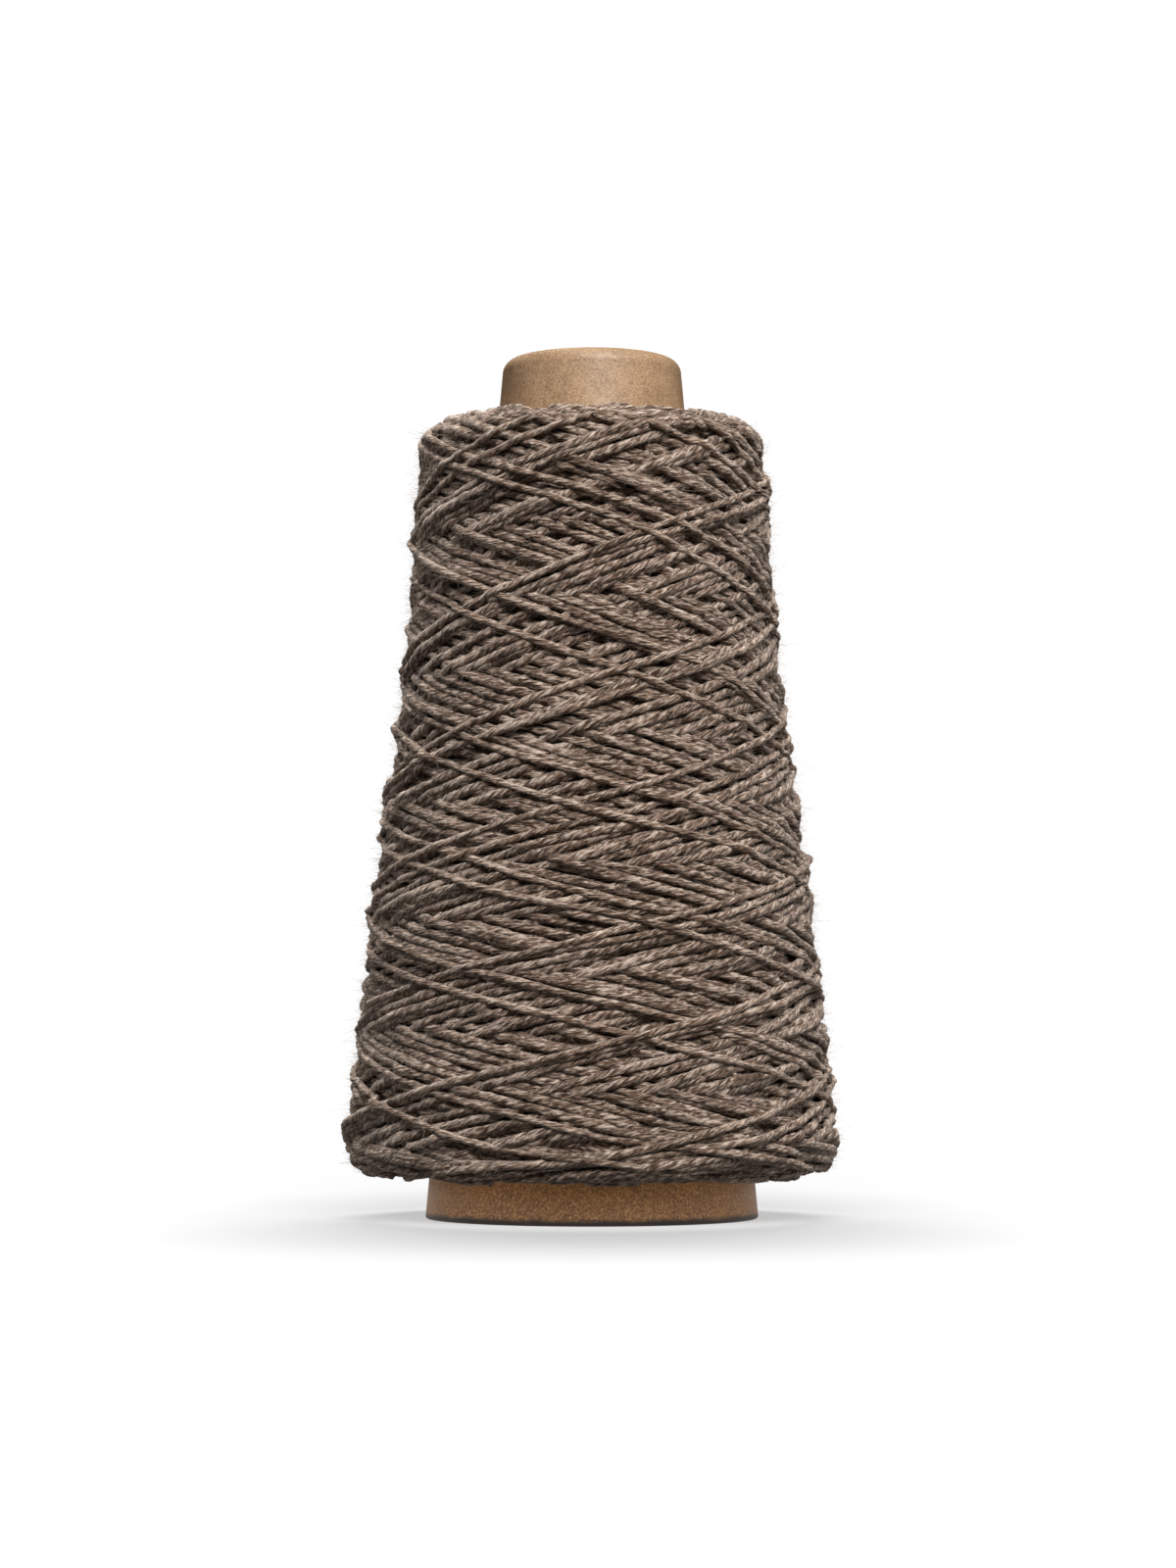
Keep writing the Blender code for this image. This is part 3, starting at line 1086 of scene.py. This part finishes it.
# Painted shadow: the glow dims in a wide oval round the cone.
painted_floor_shadow = far.ramp(42 * MM, 58 * MM) * (1 - oval.ramp(76 * MM, 150 * MM))
floor_finish.set("Emission Color", floor_finish.mix(painted_floor_shadow, even_glow_and_painted_light, grey(0.70)))
bpy.ops.mesh.primitive_circle_add(vertices=96, radius=0.7, fill_type="NGON")
floor = bpy.context.object
floor.name = "floor"
floor.data.materials.append(floor_finish.material)
floor.visible_diffuse = False
floor.visible_shadow = False
print("floor finish has", len(floor_finish.nodes), "nodes")

# %% [markdown]
# ## The backdrop
# A plain white dome closes the view. It is seen by the camera alone and
# lights nothing, so the lights can be set by themselves.

# %% White dome
bpy.ops.mesh.primitive_uv_sphere_add(segments=48, ring_count=24, radius=4.0)
dome = bpy.context.object
dome.name = "backdrop"
dome_finish = Finish("white backdrop")
dome_finish.set("Base Color", grey(0))
dome_finish.set("Specular IOR Level", 0.0)
dome_finish.set("Emission Color", grey(1))
dome_finish.set("Emission Strength", 1.05)
dome.data.materials.append(dome_finish.material)
dome.visible_diffuse = False
dome.visible_glossy = False
dome.visible_shadow = False
print("backdrop", round(dome.dimensions.x), "m across")

# %% [markdown]
# ## Soft lights and flags
# A soft box is a large square light. A photographer sets black cards, called
# flags, between a light and what it must not reach. Here a light can be told
# which things it lights, and that serves as its flag.

# %% Helpers: a soft box and its flag
def softbox(name, place, aim, width, depth, watts):
    data = bpy.data.lights.new(name, "AREA")
    data.shape = "RECTANGLE"
    data.size, data.size_y = width, depth
    data.energy = watts
    light = bpy.data.objects.new(name, data)
    bpy.context.scene.collection.objects.link(light)
    light.location = place
    direction = np.array(aim) - np.array(place)
    light.rotation_euler = (
        math.acos(-direction[2] / np.linalg.norm(direction)),
        0.0,
        math.atan2(direction[1], direction[0]) - math.pi / 2,
    )
    return light


def shone_on(light, state, *objs):
    """INCLUDE: the light reaches only these objects. EXCLUDE: it reaches all but these."""
    flagged = bpy.data.collections.new(light.name + " flag")
    for obj in objs:
        flagged.objects.link(obj)
    light.light_linking.receiver_collection = flagged
    for entry in flagged.collection_objects:
        entry.light_linking.link_state = state


print("staged:", floor.name, "and", dome.name)

# %% [markdown]
# ## Lights on the cone
# The main light stands in front, high and a little to the right, so the left
# side falls off into shade. Weaker ones above and at both sides keep the dark
# gaps open, and one at the back draws the rims. The nose has a light to itself,
# because bare card needs less from above than wool.

# %% Lights on the cone
key = softbox("light in front", (0.26, -0.92, 1.0), (0, 0, 0.08), 0.55, 0.55, 25.5)
shone_on(key, "EXCLUDE", floor)
above = softbox("light above", (0.0, 0.1, 1.3), (0, 0, 0.08), 0.5, 0.5, 8)
shone_on(above, "EXCLUDE", floor, tube)
left = softbox("light at the left", (-0.9, 0.3, 0.4), (0, 0, 0.06), 0.5, 0.6, 3.0)
shone_on(left, "EXCLUDE", floor, tube)
right = softbox("light at the right", (0.9, 0.25, 0.25), (0, 0, 0.05), 0.5, 0.4, 2.4)
shone_on(right, "EXCLUDE", floor, tube)
rear = softbox("light at the back", (-0.3, 0.9, 0.9), (0, 0, 0.08), 0.6, 0.6, 20)
shone_on(rear, "EXCLUDE", floor)
rear.visible_glossy = False
nose_light = softbox("light above, for the nose", (0.0, 0.1, 1.3), (0, 0, 0.17), 0.5, 0.5, 3.0)
shone_on(nose_light, "INCLUDE", tube)
print("lights on the cone:", len(bpy.data.lights))

# %% [markdown]
# ## Lights on the floor
# Two lights point straight down, one behind the cone and one before it, and
# make its soft shadow. Two weak ones at table height stand for the light that
# the white floor throws back: on the wool, and on the foot of the tube.

# %% Lights on the floor, and back from it
OFF_PLUMB = 0.0001  # a light needs some way to lean, or its width may turn
behind = softbox("light behind, for the floor", (0, 0.8, 1.25), (0, 0.8 - OFF_PLUMB, 0), 1.0, 0.9, 30)
shone_on(behind, "INCLUDE", floor)
before = softbox("light in front, for the floor", (0, -1.2, 0.7), (0, -1.2 - OFF_PLUMB, 0), 1.2, 0.4, 45)
shone_on(before, "INCLUDE", floor)
woollen = {wool.material.name, painted_lit_wool.material.name}
meshes = [obj for obj in bpy.data.objects if obj.type == "MESH"]
wound = [obj for obj in meshes if woollen & set(obj.data.materials.keys())]
glow = softbox("light back from the floor", (0, 0, -0.002), (0, OFF_PLUMB, 0.1), 0.3, 0.3, 0.045)
shone_on(glow, "INCLUDE", *wound, loose)
table = softbox("light under the base", (0, 0, -0.002), (0, OFF_PLUMB, 0.1), 0.1, 0.1, 0.042)
shone_on(table, "INCLUDE", tube)
world = bpy.data.worlds.new("studio air")
world.use_nodes = True
air = world.node_tree.nodes["Background"].inputs
air["Color"].default_value = grey(1)
air["Strength"].default_value = 0.035
bpy.context.scene.world = world
bpy.context.scene.view_settings.view_transform = "Standard"

# %% [markdown]
# ## Camera
# The photograph is taken from just above table height with a long lens, so the
# cone shows straight on, with its nose seen a little from below.

# %% Camera
TILT_UP = 3.46  # degrees
camera_data = bpy.data.cameras.new("camera")
camera_data.sensor_width = 36
camera_data.lens = 87.25
camera_data.shift_x = -0.0025
camera = bpy.data.objects.new("camera", camera_data)
bpy.context.scene.collection.objects.link(camera)
camera.location = (0.0, -0.751, 0.040)
camera.rotation_euler = (math.radians(90 + TILT_UP), 0.0, 0.0)
bpy.context.scene.camera = camera
print("camera at", [round(v / MM) for v in camera.location], "mm")

# %% [markdown]
